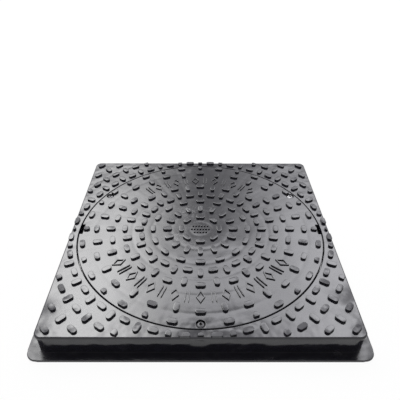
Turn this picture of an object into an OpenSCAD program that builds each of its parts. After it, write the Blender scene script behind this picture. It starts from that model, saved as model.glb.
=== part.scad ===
// Round inspection cover in a square frame, in black moulded plastic.
// Millimetres, +Z up. The origin is on the ground at the middle of the frame.
// The front is towards -Y. Angles run anticlockwise from +X, seen from above.

/* [Frame] */
// Width of the square top plate
plate_w = 486; // [482:1:520]
// Height of the frame from the ground to its top face
frame_h = 37.5; // [36:0.5:50]
// Thickness of the top plate
plate_t = 5; // [3:0.5:8]
// Radius of the plate's corners, seen from above
plate_corner_r = 12; // [6:1:24]
// Radius of the skirt's corners, over which the plate's corners stand out
skirt_corner_r = 18; // [12:1:30]
// Rounding along the top edge of the plate
plate_edge_r = 2.6; // [1:0.2:2.8]
// Wall thickness of the skirt, the round well and the collar
frame_wall = 4; // [3:0.5:5]
// Width of the ledge, from the well to the clear opening inside the collar
ledge_w = 24.7; // [24.3:0.1:25.1]
// Thickness of the ledge that the cover sits on
ledge_t = 4.6; // [3:0.2:6]
// Thickness of the ribs under the frame
frame_rib_t = 3; // [2:0.5:5]
// Distance from the ground to the foot of those ribs
frame_rib_lift = 2; // [1:0.5:6]
// Number of radial ribs under the frame
frame_ribs = 32; // [24:8:48]
// Distance from the well to the curved rib that stiffens each corner
corner_rib_out = 42; // [30:1:50]

/* [Base flange] */
// How far the base flange reaches beyond the plate, at its corners
flange_out = 13.5; // [8:0.5:30]
// Thickness of the base flange
flange_t = 4; // [3:0.5:6]
// Radius of the flange's corners, seen from above
flange_corner_r = 15; // [8:1:24]
// How far the middle of each side stands out beyond its corners
flange_swell = 0.7; // [0.3:0.1:3]
// Distance from each corner to the start of that swell
flange_swell_in = 17; // [10:1:40]

/* [Cover] */
// Diameter of the round cover
cover_d = 454; // [448:0.5:458]
// Gap all round between the cover and the well of the frame
cover_gap = 1.7; // [1:0.1:2]
// Thickness of the cover's plate
cover_t = 5; // [4:0.5:7]
// Depth of the outer rim, from the top face to its foot
rim_depth = 15.7; // [13:0.1:20]
// Thickness of the outer rim
rim_t = 3.5; // [2.5:0.5:5]
// Depth of the ribs under the cover, from the top face
cover_rib_depth = 23; // [18:0.5:30]
// Thickness of the ribs under the cover
cover_rib_t = 3; // [2:0.5:5]
// Radius of the innermost ring of ribs
rib_ring_first = 20; // [15:1:30]
// Step from one ring of ribs to the next
rib_ring_step = 36; // [30:0.5:36]
// Number of radial ribs in the outer part of the cover
cover_ribs = 24; // [16:4:32]
// Air between the cover's feet and what they sit on
seat_gap = 0.2; // [0.1:0.05:0.4]

/* [Key slots] */
// Length of each lifting slot along the edge of the cover
key_slot_l = 28.5; // [20:0.5:40]
// Distance that each slot cuts in from the edge
key_slot_in = 6.8; // [5:0.1:9]

/* [Sealing ring] */
// Width of the rubber ring
seal_w = 5; // [4:0.2:5.4]
// Height of the rubber ring
seal_h = 3.6; // [2.8:0.1:4.5]
// Depth of its groove in the ledge
groove_depth = 2; // [1:0.1:2.5]
// Air between the ring and each side of its groove
groove_clear = 0.1; // [0.05:0.05:0.2]
// Width of the lip between the groove and the clear opening
groove_lip = 2; // [1.6:0.1:2.4]

/* [Screws] */
// Distance of the screws from the edge of the cover
screw_in = 9; // [8.8:0.1:9.5]
// Diameter of the screw's shank
screw_d = 6; // [5:0.5:6.5]
// Length of the screw under its head
screw_l = 20; // [16:0.5:21]
// Diameter of the screw's head
head_d = 12; // [10:0.5:12.4]
// Height of the screw's head
head_h = 3.4; // [2.5:0.1:4]
// Depth of the cross recess in the head
cross_depth = 1.9; // [1:0.1:2.2]
// Width of the arms of the cross recess
cross_w = 1.5; // [1:0.1:2]
// Length of the cross recess from tip to tip
cross_l = 6.4; // [4:0.1:8]
// Diameter of the counterbore round the head
counterbore_d = 15; // [13.4:0.1:15.6]
// Depth of the counterbore below the cover's top face
counterbore_depth = 5; // [4.6:0.1:6]
// Diameter of the boss under the cover round each screw
cover_boss_d = 17; // [16.4:0.1:17.6]
// Radial air between the shank and its hole in the cover
shank_clear = 0.3; // [0.2:0.05:0.5]
// Diameter of the washer under the head
washer_d = 13; // [12.4:0.1:13.2]
// Thickness of the washer
washer_t = 1.5; // [1:0.1:2]
// Radial air between the shank and its washer
washer_clear = 0.08; // [0.05:0.01:0.1]

/* [Threaded inserts] */
// Diameter of the brass insert
insert_d = 8.4; // [8:0.1:9]
// Length of the brass insert
insert_l = 10; // [8.5:0.5:11]
// Radial air between the shank and the insert
thread_clear = 0.05; // [0.02:0.01:0.09]
// Radial air between the insert and its boss
insert_clear = 0.05; // [0.02:0.01:0.1]
// Diameter of the boss round each insert
frame_boss_d = 14; // [12:0.5:15]
// Plastic under the foot of each insert
frame_boss_floor = 3; // [2:0.5:4]

/* [Lugs] */
// Length of a raised lug
lug_l = 17.5; // [14:0.5:19]
// Width of a raised lug
lug_w = 9.5; // [7:0.25:10]
// Height of a raised lug
lug_h = 3.6; // [2:0.1:5]
// Radius of the innermost ring of lugs
lug_ring_first = 35.5; // [34:0.5:38]
// Step from ring to ring outwards, in the rows that start near the middle
lug_ring_step = 26.75; // [26:0.05:27]
// Step from ring to ring inwards, in the rows that start at the cover's edge
edge_ring_step = 27; // [26.5:0.1:27.5]
// Distance from the cover's edge to its outermost lugs
edge_lug_in = 4.25; // [3.5:0.25:5]
// Distance from the frame's well to its first lugs
well_lug_out = 6.6; // [5:0.2:7]
// Step from ring to ring on the frame
frame_lug_step = 27; // [26:0.1:28]
// Distance from the plate's edge at which lugs along the radius are cut off
lug_trim_in = 2.5; // [1:0.1:4]
// Distance from the plate's edge at which lugs across the radius are cut off
lug_side_in = 0.5; // [0.2:0.1:2]

/* [Raised pattern bands] */
// Middle radius of the two bands of raised line pattern
band_r = 166.75; // [165:0.25:168]
// Height of the bands, measured along a radius
band_h = 26; // [20:0.5:27]
// Width of the raised lines
line_w = 1.8; // [1.2:0.1:2.4]
// Height of the raised lines
line_h = 2; // [0.8:0.1:2.4]
// Angle from one motif to the next
motif_step = 7.2; // [6.6:0.1:8]
// Width of the open lozenges
lozenge_w = 15; // [12:0.5:17]
// Distance between the two lines of a pair
pair_gap = 6; // [4:0.5:8]
// Length of the small raised dashes at the middle of the cover, side to side
dash_l = 3.6; // [2.5:0.1:4.5]

/* [Hidden] */
$fn = 96;

// Screws stand at the front, the right and the left of the cover.
front_angle = -90;
right_angle = 30;
left_angle = 150;
screw_angles = [front_angle, right_angle, left_angle];

// Lifting slots face each other across the cover.
key_angles = [0, 180];

// Levels, from the ground up
ledge_z = frame_h - rim_depth - seat_gap;
rim_foot_z = frame_h - rim_depth;
groove_z = ledge_z - groove_depth;
seal_top_z = groove_z + seal_h;
press_foot_z = seal_top_z + seat_gap;
cover_under_z = frame_h - cover_t;
cover_rib_foot_z = frame_h - cover_rib_depth;
counterbore_z = frame_h - counterbore_depth;
head_z = counterbore_z + washer_t;
insert_foot_z = ledge_z - insert_l;

// Radii, from the clear opening out
cover_r = cover_d / 2;
screw_r = cover_r - screw_in;
well_r = cover_r + cover_gap;
well_out_r = well_r + frame_wall;
clear_r = well_r - ledge_w;
collar_out_r = clear_r + frame_wall;
corner_rib_r = well_out_r + corner_rib_out;
flange_w = plate_w + 2 * flange_out;
wall_corner_r = max(skirt_corner_r, plate_corner_r);
groove_in_r = clear_r + groove_lip;
groove_out_r = groove_in_r + seal_w + 2 * groove_clear;
shank_r = screw_d / 2;

// Rim inside the cover that presses on the sealing ring
press_in_r = groove_in_r + groove_clear + (seal_w - rim_t) / 2;
press_out_r = press_in_r + rim_t;

// Number of rings of ribs that fit inside the clear opening
rib_rings = floor((clear_r - cover_rib_t - rib_ring_first) / rib_ring_step);
function rib_ring_r(i) = rib_ring_first + i * rib_ring_step;
// Ring of ribs from which the radial ribs are twice as many
many_ribs_ring = 2;

// Lugs stand every 11.25 degrees on the cover and every 5.625 on the frame.
cover_places = 32;
frame_places = 64;
function even(n) = n % 2 == 0;
edge_ring = 8;
edge_lug_r = cover_r - edge_lug_in;
short_lugs = [for (i = [2 : 2 : cover_places - 2]) if (i != 16 && i != 24) i];

// Even places count from the innermost ring, and odd ones from the edge.
function cover_lug_r(k, i) =
    even(i) ? lug_ring_first + (k - 1) * lug_ring_step
            : edge_lug_r - lug_w / 2 - (edge_ring - k) * edge_ring_step;

// Rings of lugs on the frame. In the first, both kinds start at one radius.
function frame_lug_r(k, along) =
    well_r + well_lug_out
    + (k == 1 ? (along ? lug_l : lug_w) / 2
              : (lug_l + lug_w) / 4 + (k - 1) * frame_lug_step);
// Radius at which a lug along the radius is cut off by the plate's edge
function lug_end_r(a) =
    let (c = max(abs(cos(a)), abs(sin(a))), s = min(abs(cos(a)), abs(sin(a))))
    (plate_w / 2 - lug_trim_in - lug_w / 2 * s) / c;
// A lug that would be shorter than this is left out, and so is one whose
// middle lies further than this past the plate's edge.
least_lug_l = 4;
lug_keep_out = 1.5;

// The two bands lie at the front and the back, with a space near the middle of
// each; the ring of lugs behind them keeps to the sides.
front_band = [-149.5, -30.5];
back_band = [48, 132];
side_lugs = [-2, -1, 0, 1, 2, 3, 13, 14, 15, 16, 17, 18];

// Raised dashes at the middle, one number for each row
dash_rows = [6, 7, 5];
dash_step = 5.4;
dash_row_step = 9;

// The dome of a screw's head has this radius for each millimetre of its width.
dome_ratio = 0.9;
// Two of the screws are blackened, and the one at the right is bright.
black_steel = "#2f3033";
bright_steel = "#b9bcc0";
// Facets of a lug's round ends
lug_fn = 32;
// A little extra, so that cuts pass right through a face
cut = 1;

// Square with round corners, flat, centred on the origin
module rounded_square(w, r) {
    square([w, w - 2 * r], center = true);
    square([w - 2 * r, w], center = true);
    for (x = [-1, 1], y = [-1, 1])
        translate([x * (w / 2 - r), y * (w / 2 - r)]) circle(r);
}

// Flat ring between two radii
module flat_ring(r_out, r_in) {
    difference() {
        circle(r_out);
        circle(r_in);
    }
}

// Flat ring that turns about the Z axis, between two radii and two levels
module hoop(r_in, r_out, z_low, z_high) {
    rotate_extrude()
        translate([r_in, z_low]) square([r_out - r_in, z_high - z_low]);
}

// Outline of one lug along X: a bar with two round ends
module lug_outline() {
    square([lug_l - lug_w, lug_w], center = true);
    for (x = [-1, 1])
        translate([x * (lug_l - lug_w) / 2, 0]) circle(lug_w / 2, $fn = lug_fn);
}

// One lug at a radius and an angle, along the radius or across it
module lug_at(r, a, along) {
    rotate(a) translate([r, 0]) rotate(along ? 0 : 90) lug_outline();
}

// One lug along the radius, cut off square at an outer radius
module cut_lug_at(r, a, end_r) {
    intersection() {
        lug_at(r, a, true);
        rotate(a) translate([0, -lug_w]) square([end_r, 2 * lug_w]);
    }
}

// Whole ring of lugs that all point the same way
module plain_lug_ring(k, n, along) {
    for (i = [0 : n - 1]) lug_at(cover_lug_r(k, 0), i * 360 / n, along);
}

// One lug of a ring in which lugs lie along and across by turns
module mixed_lug(k, i) {
    lug_at(cover_lug_r(k, i), i * 360 / cover_places, even(k + i));
}

// Every lug of the cover, flat. The outermost ring has lugs across the radius
// and short ones along it, one at each slot, and none at the front screw.
module cover_lugs() {
    plain_lug_ring(1, 8, false);
    plain_lug_ring(2, 16, true);
    plain_lug_ring(3, 16, false);
    for (k = [4, 5, 7], i = [0 : cover_places - 1]) mixed_lug(k, i);
    for (i = side_lugs) mixed_lug(6, i);
    for (i = [1 : 2 : cover_places - 1])
        lug_at(cover_lug_r(edge_ring, i), i * 360 / cover_places, false);
    for (i = short_lugs)
        cut_lug_at(cover_lug_r(edge_ring, i), i * 360 / cover_places, edge_lug_r);
    for (a = key_angles)
        cut_lug_at(screw_r, a, cover_r - key_slot_in);
}

// One lug of the frame at a place of its ring, if the plate has room for it
module frame_lug(k, i) {
    a = i * 360 / frame_places;
    along = even(k + i + 1);
    r = frame_lug_r(k, along);
    end_r = lug_end_r(a);
    if (r * max(abs(cos(a)), abs(sin(a))) < plate_w / 2 + lug_keep_out)
        if (!along || end_r > r + lug_l / 2)
            lug_at(r, a, along);
        else if (end_r > r - lug_l / 2 + least_lug_l)
            cut_lug_at(r, a, end_r);
}

// Every lug of the frame, flat
module frame_lugs() {
    intersection() {
        square(plate_w - 2 * lug_side_in, center = true);
        for (k = [1 : 4], i = [0 : frame_places - 1]) frame_lug(k, i);
    }
}

// Open lozenge of raised line, its long axis along the radius
module lozenge_outline() {
    w = lozenge_w / 2;
    h = band_h / 2;
    inner_w = w - line_w * sqrt(w * w + h * h) / h;
    inner_h = inner_w * h / w;
    difference() {
        polygon([[h, 0], [0, w], [-h, 0], [0, -w]]);
        polygon([[inner_h, 0], [0, inner_w], [-inner_h, 0], [0, -inner_w]]);
    }
}

// Pair of raised lines along the radius
module line_pair() {
    for (y = [-1, 1])
        translate([0, y * pair_gap / 2]) square([band_h, line_w], center = true);
}

// One band of the raised pattern: lozenges and pairs of lines by turns
module pattern_band(span) {
    steps = floor((span[1] - span[0]) / motif_step);
    start = (span[0] + span[1] - steps * motif_step) / 2;
    for (i = [0 : steps])
        rotate(start + i * motif_step)
            translate([band_r, 0])
                if (even(i)) lozenge_outline();
                else line_pair();
}

// Short dashes in rows at the middle of the cover
module middle_dashes() {
    for (row = [0 : len(dash_rows) - 1], i = [0 : dash_rows[row] - 1])
        translate([(i - (dash_rows[row] - 1) / 2) * dash_step,
                   (1 - row) * dash_row_step])
            square([dash_l, line_w], center = true);
}

// Ribs under the cover, flat: rings, and radial ribs that are twice as many
// in the outer part as near the middle
module cover_rib_pattern() {
    outer_r = rib_ring_r(rib_rings);
    for (i = [0 : rib_rings])
        flat_ring(rib_ring_r(i) + cover_rib_t / 2, rib_ring_r(i) - cover_rib_t / 2);
    for (i = [0 : cover_ribs - 1]) {
        inner_r = even(i) ? rib_ring_first : rib_ring_r(many_ribs_ring);
        rotate(i * 360 / cover_ribs)
            translate([inner_r, -cover_rib_t / 2])
                square([outer_r - inner_r, cover_rib_t]);
    }
}

// Round cover, one moulding: plate, outer rim, inner rim that presses on the
// sealing ring, ribs, screw bosses, raised lugs and pattern
module cover() {
    color("#2b2b2e")
    difference() {
        union() {
            translate([0, 0, cover_under_z]) cylinder(h = cover_t, r = cover_r);
            hoop(cover_r - rim_t, cover_r, rim_foot_z, cover_under_z + cut);
            hoop(press_in_r, press_out_r, press_foot_z, cover_under_z + cut);
            translate([0, 0, cover_rib_foot_z])
                linear_extrude(cover_under_z + cut - cover_rib_foot_z) cover_rib_pattern();
            for (a = screw_angles)
                rotate(a) translate([screw_r, 0, press_foot_z])
                    cylinder(h = cover_under_z + cut - press_foot_z, d = cover_boss_d);
            translate([0, 0, frame_h - cut])
                linear_extrude(lug_h + cut) cover_lugs();
            translate([0, 0, frame_h - cut])
                linear_extrude(line_h + cut) {
                    pattern_band(front_band);
                    pattern_band(back_band);
                    middle_dashes();
                }
        }
        for (a = screw_angles)
            rotate(a) translate([screw_r, 0]) screw_cut();
        for (a = key_angles)
            rotate(a)
                translate([cover_r - key_slot_in, -key_slot_l / 2, rim_foot_z - cut])
                    cube([key_slot_in + cut, key_slot_l, rim_depth + 2 * cut]);
    }
}

// Counterbore and shank hole of one screw
module screw_cut() {
    translate([0, 0, counterbore_z])
        cylinder(h = counterbore_depth + lug_h + cut, d = counterbore_d);
    translate([0, 0, rim_foot_z - cut])
        cylinder(h = frame_h - rim_foot_z, r = shank_r + shank_clear);
}

// Space inside the round part of the frame: the mouth, the groove in the
// ledge, and the well that takes the cover
module well_space() {
    top_z = frame_h + lug_h + cut;
    rotate_extrude()
        polygon([
            [0, -cut],
            [clear_r, -cut],
            [clear_r, ledge_z],
            [groove_in_r, ledge_z],
            [groove_in_r, groove_z],
            [groove_out_r, groove_z],
            [groove_out_r, ledge_z],
            [well_r, ledge_z],
            [well_r, top_z],
            [0, top_z]
        ]);
}

// Ribs under the frame, flat: radial ribs from the collar to the skirt, and a
// curved rib across each corner
module frame_rib_pattern() {
    intersection() {
        rounded_square(plate_w - frame_wall, wall_corner_r - frame_wall / 2);
        union() {
            for (i = [0 : frame_ribs - 1])
                rotate(i * 360 / frame_ribs)
                    translate([collar_out_r - frame_wall / 2, -frame_rib_t / 2])
                        square([plate_w, frame_rib_t]);
            flat_ring(corner_rib_r + frame_rib_t / 2, corner_rib_r - frame_rib_t / 2);
        }
    }
}

// Base flange, flat: its corners, and the middle of each side a little proud
module flange_outline() {
    rounded_square(flange_w, flange_corner_r);
    for (a = [0, 90])
        rotate(a)
            square([flange_w + 2 * flange_swell, flange_w - 2 * flange_swell_in], center = true);
}

// Section of the plate's edge, its top outer corner rounded, with the axis of
// the plate's corner at x = 0
module edge_section() {
    edge_in = plate_corner_r - frame_wall;
    under_z = frame_h - plate_t;
    translate([edge_in, under_z])
        square([frame_wall, plate_t - plate_edge_r]);
    translate([edge_in, under_z])
        square([frame_wall - plate_edge_r, plate_t]);
    translate([plate_corner_r - plate_edge_r, frame_h - plate_edge_r])
        circle(plate_edge_r);
}

// Edge of the plate: four straight sides and four round corners
module plate_edge() {
    side = plate_w - 2 * plate_corner_r;
    for (a = [0 : 90 : 270])
        rotate(a) {
            translate([side / 2, side / 2, 0])
                rotate([90, 0, 0]) linear_extrude(side) edge_section();
            translate([side / 2, side / 2, 0])
                rotate_extrude(angle = 90) edge_section();
        }
}

// What the skirt's wall stands round, flat
module skirt_inside() {
    rounded_square(plate_w - 2 * frame_wall, wall_corner_r - frame_wall);
}

// Skirt of the frame, below the plate
module skirt() {
    linear_extrude(frame_h - plate_t + cut)
        difference() {
            rounded_square(plate_w, wall_corner_r);
            skirt_inside();
        }
}

// Square frame, one moulding: top plate, skirt, base flange, round well with
// its ledge and collar, ribs, insert bosses and raised lugs
module frame() {
    ledge_foot_z = ledge_z - ledge_t;
    color("#2b2b2e")
    difference() {
        union() {
            cylinder(h = ledge_z - ledge_t / 2, r = collar_out_r);
            translate([0, 0, ledge_foot_z])
                cylinder(h = frame_h - ledge_foot_z, r = well_out_r);
            translate([0, 0, frame_h - plate_t])
                linear_extrude(plate_t)
                    rounded_square(plate_w - 2 * plate_edge_r, plate_corner_r - plate_edge_r);
            plate_edge();
            skirt();
            linear_extrude(flange_t)
                difference() {
                    flange_outline();
                    skirt_inside();
                }
            translate([0, 0, frame_rib_lift])
                linear_extrude(frame_h - plate_t / 2 - frame_rib_lift)
                    frame_rib_pattern();
            for (a = screw_angles)
                rotate(a) translate([screw_r, 0, insert_foot_z - frame_boss_floor])
                    cylinder(h = insert_l + frame_boss_floor - ledge_t / 2, d = frame_boss_d);
            translate([0, 0, frame_h - plate_edge_r])
                linear_extrude(lug_h + plate_edge_r) frame_lugs();
        }
        well_space();
        for (a = screw_angles)
            rotate(a) translate([screw_r, 0, insert_foot_z])
                cylinder(h = insert_l + cut, r = insert_d / 2 + insert_clear);
    }
}

// Rubber ring that lies in the groove of the ledge
module sealing_ring() {
    color("#1c1c1d")
        hoop(groove_in_r + groove_clear, groove_out_r - groove_clear, groove_z, seal_top_z);
}

// Pan-head screw with a cross recess, upright, its head's seat at z = 0
module pan_screw(tone) {
    dome_r = head_d * dome_ratio;
    color(tone)
    difference() {
        union() {
            translate([0, 0, -screw_l]) cylinder(h = screw_l + head_h / 2, r = shank_r);
            intersection() {
                cylinder(h = head_h, d = head_d);
                translate([0, 0, head_h - dome_r]) sphere(dome_r);
            }
        }
        for (a = [0, 90])
            rotate(a)
                translate([-cross_l / 2, -cross_w / 2, head_h - cross_depth])
                    cube([cross_l, cross_w, cross_depth + cut]);
    }
}

// Flat washer between a screw's head and the floor of its counterbore
module flat_washer() {
    color("#3a3a3c")
        hoop(shank_r + washer_clear, washer_d / 2, counterbore_z, head_z);
}

// Brass insert in a boss of the frame
module brass_insert() {
    color("#b08d4a")
        hoop(shank_r + thread_clear, insert_d / 2, insert_foot_z, ledge_z);
}

// Puts a piece at one of the screws
module at_screw(a) {
    rotate(a) translate([screw_r, 0]) children();
}

module front_screw() { at_screw(front_angle) translate([0, 0, head_z]) pan_screw(black_steel); }
module right_screw() { at_screw(right_angle) translate([0, 0, head_z]) pan_screw(bright_steel); }
module left_screw() { at_screw(left_angle) translate([0, 0, head_z]) pan_screw(black_steel); }
module front_washer() { at_screw(front_angle) flat_washer(); }
module right_washer() { at_screw(right_angle) flat_washer(); }
module left_washer() { at_screw(left_angle) flat_washer(); }
module front_insert() { at_screw(front_angle) brass_insert(); }
module right_insert() { at_screw(right_angle) brass_insert(); }
module left_insert() { at_screw(left_angle) brass_insert(); }

frame();
cover();
sealing_ring();
front_screw();
right_screw();
left_screw();
front_washer();
right_washer();
left_washer();
front_insert();
right_insert();
left_insert();
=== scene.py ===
import bmesh
import bpy
import numpy as np
from mathutils import Matrix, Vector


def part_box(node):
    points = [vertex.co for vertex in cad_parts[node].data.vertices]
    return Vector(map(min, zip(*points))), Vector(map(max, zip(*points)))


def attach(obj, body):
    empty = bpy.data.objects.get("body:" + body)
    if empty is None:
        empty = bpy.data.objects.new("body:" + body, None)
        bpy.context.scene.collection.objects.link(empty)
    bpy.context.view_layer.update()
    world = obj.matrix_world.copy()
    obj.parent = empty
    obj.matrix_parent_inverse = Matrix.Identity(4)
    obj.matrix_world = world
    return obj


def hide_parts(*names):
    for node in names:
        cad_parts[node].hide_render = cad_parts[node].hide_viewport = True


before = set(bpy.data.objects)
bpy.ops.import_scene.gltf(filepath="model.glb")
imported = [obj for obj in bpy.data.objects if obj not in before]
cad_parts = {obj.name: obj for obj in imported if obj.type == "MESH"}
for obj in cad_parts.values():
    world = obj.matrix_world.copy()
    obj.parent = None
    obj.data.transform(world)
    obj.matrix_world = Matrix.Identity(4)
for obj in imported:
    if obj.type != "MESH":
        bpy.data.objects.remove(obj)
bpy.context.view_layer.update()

# Square frame
# One injection moulding in black polypropylene: a plate with a round well, a
# skirt that stands on a base flange, a ledge for the cover, and ribs below.
# Raised lugs give grip all over the plate. Sizes are in millimetres.
mm = 0.001
lug_l, lug_w, lug_h = 17.5, 9.5, 3.6
plate_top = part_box("frame")[1].z / mm - lug_h
plate_half, plate_corner_r, plate_edge_r, plate_t = 243.0, 12.0, 2.6, 5.0
wall, skirt_corner_r = 4.0, 18.0
flange_out, flange_corner_r, flange_t = 13.5, 15.0, 4.0
flange_swell, swell_end, swell_ease = 0.7, 239.5, 1.5
flange_half = plate_half + flange_out
cover_gap, ledge_w, ledge_t = 1.7, 24.7, 4.6
cover_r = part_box("cover")[1].y / mm
well_r = cover_r + cover_gap
clear_r = well_r - ledge_w
ledge_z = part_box("front_insert")[1].z / mm
ledge_foot_z = ledge_z - ledge_t
groove_lip, groove_w = 2.0, 5.2
groove_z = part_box("sealing_ring")[0].z / mm
groove_in_r, groove_out_r = clear_r + groove_lip, clear_r + groove_lip + groove_w
screw_in, screw_angles = 9, (-90, 30, 150)
screw_r = cover_r - screw_in
insert_hole_r, insert_foot_z = 4.25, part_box("front_insert")[0].z / mm
frame_boss_r, frame_boss_floor = 7.0, 3.0
frame_ribs, frame_rib_t, frame_rib_lift, corner_rib_out = 32, 3.0, 2.0, 42
corner_rib_r = well_r + wall + corner_rib_out
frame_rings, frame_places, frame_lug_step, well_lug_out = 4, 64, 27, 6.6
lug_trim_in, lug_side_in, lug_keep_out, least_lug_l = 2.5, 0.5, 1.5, 4

# Steps round a corner, and places of the points along a side, closer near its ends
corner_steps = 12
side_marks = np.unique(np.round(np.concatenate([np.linspace(-1, 1, 49),
                                                [-0.994, -0.988, -0.981, 0.981, 0.988, 0.994]]), 4))


def quads(rows, cols, closed_rows=False):
    """Faces between the points of a grid whose rows are rings. With closed rows, the last ring joins the
    first."""
    i = np.arange(rows if closed_rows else rows - 1)[:, None]
    j = np.arange(cols)[None, :]
    ii, jj = (i + 1) % rows, (j + 1) % cols
    return np.stack([i * cols + j, i * cols + jj, ii * cols + jj, ii * cols + j], -1).reshape(-1, 4)


def arc(centre, radius, start, end, steps):
    """Points on an arc of a section, from one angle to another, in degrees anticlockwise."""
    a = np.radians(np.linspace(start, end, steps + 1))
    return np.stack([centre[0] + radius * np.cos(a), centre[1] + radius * np.sin(a)], -1)


def section(*parts):
    """One section outline: single points and arcs, one after another."""
    return np.concatenate([np.atleast_2d(np.asarray(p, float)) for p in parts])


def turned(outline, steps=360, centre=(0.0, 0.0)):
    """Surface of revolution: each point (radius, height) of a closed outline goes round an upright axis."""
    a = np.linspace(0, 2 * np.pi, steps, endpoint=False)
    r, z = outline[:, :1], outline[:, 1:]
    points = np.stack([centre[0] + r * np.cos(a), centre[1] + r * np.sin(a), z + 0 * a], -1)
    return points.reshape(-1, 3), quads(len(outline), steps, closed_rows=True)


def screw_place(angle):
    """Where the axis of a screw stands, as x and y."""
    return screw_r * np.cos(np.radians(angle)), screw_r * np.sin(np.radians(angle))


def square_path(half, corner_r, swell=0.0):
    """Rounded square, anticlockwise from the right side: x and y of each point. The middle of each side
    may stand proud by the swell, which eases off near the ends of the side."""
    s = side_marks[:-1] * (half - corner_r)
    proud = swell * np.clip((swell_end + swell_ease - abs(s)) / (2 * swell_ease), 0, 1)
    a = np.radians(np.linspace(0, 90, corner_steps + 1))[:-1]
    one = np.concatenate([
        np.stack([half + proud, s], -1),
        np.stack([half - corner_r + corner_r * np.cos(a), half - corner_r + corner_r * np.sin(a)], -1)])
    turns = [one, one[:, ::-1] * [-1, 1], -one, one[:, ::-1] * [1, -1]]
    return np.concatenate(turns)


plate_path = square_path(plate_half, plate_corner_r)
path_angle = np.arctan2(plate_path[:, 1], plate_path[:, 0])
path_steps = len(plate_path)


def round_ring(r, z):
    """Ring of a circle, its points at the angles of the square path's points."""
    return np.stack([r * np.cos(path_angle), r * np.sin(path_angle), 0 * path_angle + z], -1)


def square_ring(half, corner_r, z, swell=0.0):
    """Ring of a rounded square at one height."""
    return np.column_stack([square_path(half, corner_r, swell), np.full(path_steps, z)])


def box_bar(x0, x1, width, z0, z1, angle, soft=0.5):
    """Straight bar along a radius, from x0 to x1, its lower edges eased, turned to an angle."""
    h = width / 2
    across = section((h, z1), (-h, z1), (-h, z0 + soft), (-h + soft, z0), (h - soft, z0), (h, z0 + soft))
    n = len(across)
    ends = np.concatenate([np.column_stack([np.full(n, x), across]) for x in (x0, x1)])
    c, s = np.cos(np.radians(angle)), np.sin(np.radians(angle))
    points = np.column_stack([ends[:, 0] * c - ends[:, 1] * s, ends[:, 0] * s + ends[:, 1] * c, ends[:, 2]])
    caps = [tuple(range(n)), tuple(range(2 * n - 1, n - 1, -1))]
    return points, [tuple(f) for f in quads(2, n)[:, ::-1]] + caps


def make_mesh(name, shells):
    """One mesh from a list of (points in millimetres, faces)."""
    points, faces, first = [], [], 0
    for p, f in shells:
        points.append(p)
        faces += [tuple(int(v) + first for v in face) for face in f]
        first += len(p)
    mesh = bpy.data.meshes.new(name)
    mesh.from_pydata((np.concatenate(points) * mm).tolist(), [], faces)
    mesh.update()
    return mesh


def cut(mesh, tools):
    """The mesh with every tool's shape cut out of it."""
    body = bpy.data.objects.new("body", mesh)
    tool = bpy.data.objects.new("tool", make_mesh("tool", tools))
    for o in (body, tool):
        bpy.context.scene.collection.objects.link(o)
    bite = body.modifiers.new("bite", "BOOLEAN")
    bite.operation, bite.solver, bite.object = "DIFFERENCE", "EXACT", tool
    bpy.context.view_layer.update()
    result = bpy.data.meshes.new_from_object(body.evaluated_get(bpy.context.evaluated_depsgraph_get()))
    for o in (body, tool):
        bpy.data.objects.remove(o)
    return result


def piece(name, meshes, body, node, finish, sharp=38):
    """One piece from several meshes: shaded smooth, with sharp edges kept, riding on its body in place
    of its node."""
    bm = bmesh.new()
    for m in meshes:
        bm.from_mesh(m)
    bmesh.ops.remove_doubles(bm, verts=bm.verts, dist=1e-7)
    mesh = bpy.data.meshes.new(name)
    bm.to_mesh(mesh)
    bm.free()
    mesh.shade_smooth()
    mesh.set_sharp_from_angle(angle=np.radians(sharp))
    o = bpy.data.objects.new(name, mesh)
    bpy.context.scene.collection.objects.link(o)
    level = o.modifiers.new("level", "WEIGHTED_NORMAL")
    level.keep_sharp, level.weight = True, 60
    mesh.materials.clear()
    mesh.materials.append(finish)
    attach(o, body)
    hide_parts(node)
    return o


lug_rays = 24
lug_profile = np.array([(-0.1, -0.4), (-0.1, 0.01), (0.0, 0.12), (0.1, 3.1), (0.2, 3.32), (0.45, 3.45),
                        (1.7, 3.5), (3.2, 3.52)])
no_plane, no_hole = (0.0, 0.0, 1e3), (0.0, 0.0, -1e3)
corner_ease = 1.3


def blunt_max(a, b):
    """Larger of two distances, eased where they meet, which rounds a corner between two edges."""
    return np.maximum(a, b) + np.maximum(corner_ease - abs(a - b), 0) ** 2 / (4 * corner_ease)


def bar_outline(radius, straight, count):
    """Evenly spaced points round a bar with round ends, from the foot of its right end anticlockwise. The
    straight part reaches as far as given on both sides of its middle."""
    half_turn = np.pi * radius
    walk = (np.arange(count) + 0.5) / count * (2 * half_turn + 4 * straight)
    upper = walk - half_turn
    left = (upper - 2 * straight) / radius
    legs = [walk < half_turn, upper < 2 * straight, upper < 2 * straight + half_turn]
    x = np.select(legs, [straight + radius * np.sin(walk / radius), straight - upper,
                         -straight - radius * np.sin(left)], left * radius - half_turn - straight)
    y = np.select(legs, [-radius * np.cos(walk / radius), radius + 0 * walk, radius * np.cos(left)], -radius)
    return x, y


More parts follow.
